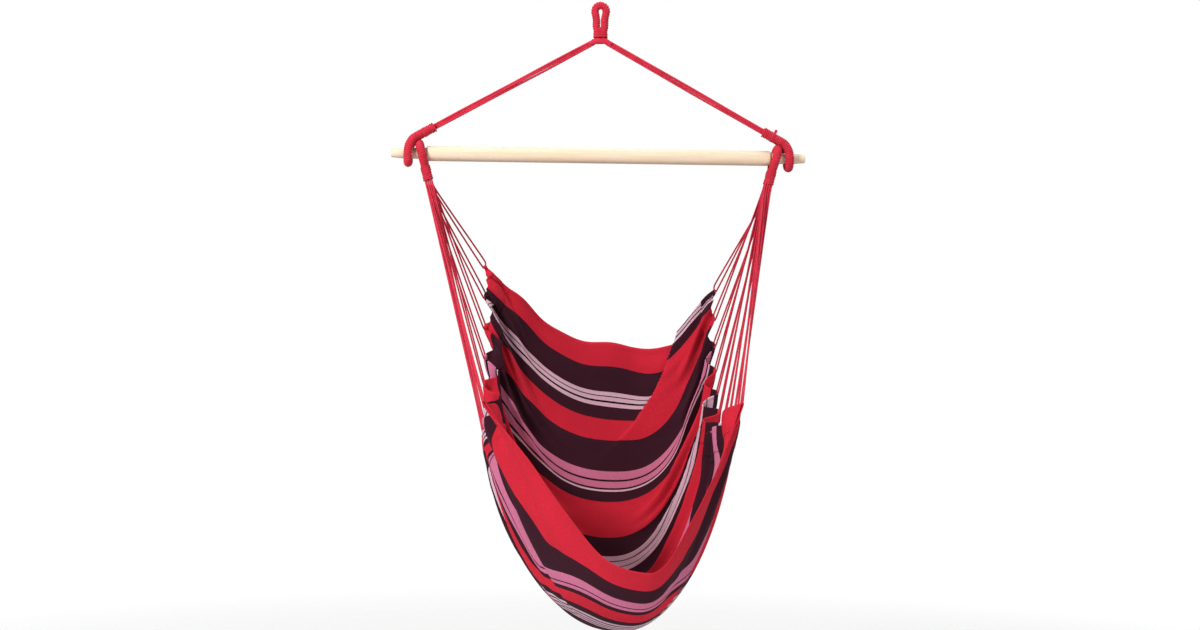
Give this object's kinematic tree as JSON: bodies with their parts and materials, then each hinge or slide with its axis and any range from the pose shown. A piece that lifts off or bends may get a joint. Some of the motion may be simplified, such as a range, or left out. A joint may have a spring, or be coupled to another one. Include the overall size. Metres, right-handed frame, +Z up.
{
  "type": "hammock chair",
  "caption": "Striped cotton sling seat hung by fans of cord from a wooden spreader bar, with two rope arms meeting in one whipped hanging eye.",
  "frame": {"origin": "inner crown of the hanging eye, where a hook bears", "axes": "+Z up, X along the spreader bar, -Y towards the open front of the seat"},
  "size_m": [1.1, 0.8276, 1.6445],
  "materials": {
    "pale_wood": "sanded, unfinished",
    "red_cord": "twisted cotton cord",
    "red_whipping": "tight cotton whipping",
    "striped_cotton": "woven cotton with side-to-side stripes"
  },
  "bodies": {
    "eye": {"eye_core": "red_cord", "eye_whipping": "red_whipping", "eye_throat_binding": "red_whipping"},
    "hanger": {"arm_crossing": "red_cord", "arm_cord_left_1": "red_cord", "arm_cord_left_2": "red_cord", "arm_cord_left_3": "red_cord", "arm_cord_right_1": "red_cord", "arm_cord_right_2": "red_cord", "arm_cord_right_3": "red_cord", "hanger_loop_core_left": "red_cord", "hanger_loop_whipping_left": "red_whipping", "hanger_binding_left": "red_whipping", "hanger_loop_core_right": "red_cord", "hanger_loop_whipping_right": "red_whipping", "hanger_binding_right": "red_whipping"},
    "bar": {"spreader_bar": "pale_wood"},
    "seat": {"seat_loop_core_left": "red_cord", "seat_loop_whipping_left": "red_whipping", "seat_binding_left": "red_whipping", "seat_loop_core_right": "red_cord", "seat_loop_whipping_right": "red_whipping", "seat_binding_right": "red_whipping", "cord_left_01": "red_cord", "cord_left_02": "red_cord", "cord_left_03": "red_cord", "cord_left_04": "red_cord", "cord_left_05": "red_cord", "cord_left_06": "red_cord", "cord_left_07": "red_cord", "cord_left_08": "red_cord", "cord_left_09": "red_cord", "cord_left_10": "red_cord", "cord_left_11": "red_cord", "cord_left_12": "red_cord", "cord_right_01": "red_cord", "cord_right_02": "red_cord", "cord_right_03": "red_cord", "cord_right_04": "red_cord", "cord_right_05": "red_cord", "cord_right_06": "red_cord", "cord_right_07": "red_cord", "cord_right_08": "red_cord", "cord_right_09": "red_cord", "cord_right_10": "red_cord", "cord_right_11": "red_cord", "cord_right_12": "red_cord", "seat_cloth": "striped_cotton"}
  },
  "joints": [
    {"name": "hanger_swing", "type": "hinge", "parent": "eye", "child": "hanger", "pos_m": [0, 0, -0.0859], "axis": [1, 0, 0], "range_deg": [-30, 30]},
    {"name": "bar_turn", "type": "hinge", "parent": "hanger", "child": "bar", "pos_m": [0, 0, -0.391], "axis": [1, 0, 0], "continuous": true},
    {"name": "seat_swing", "type": "hinge", "parent": "hanger", "child": "seat", "pos_m": [0, 0, -0.391], "axis": [1, 0, 0], "range_deg": [-30, 30]}
  ]
}
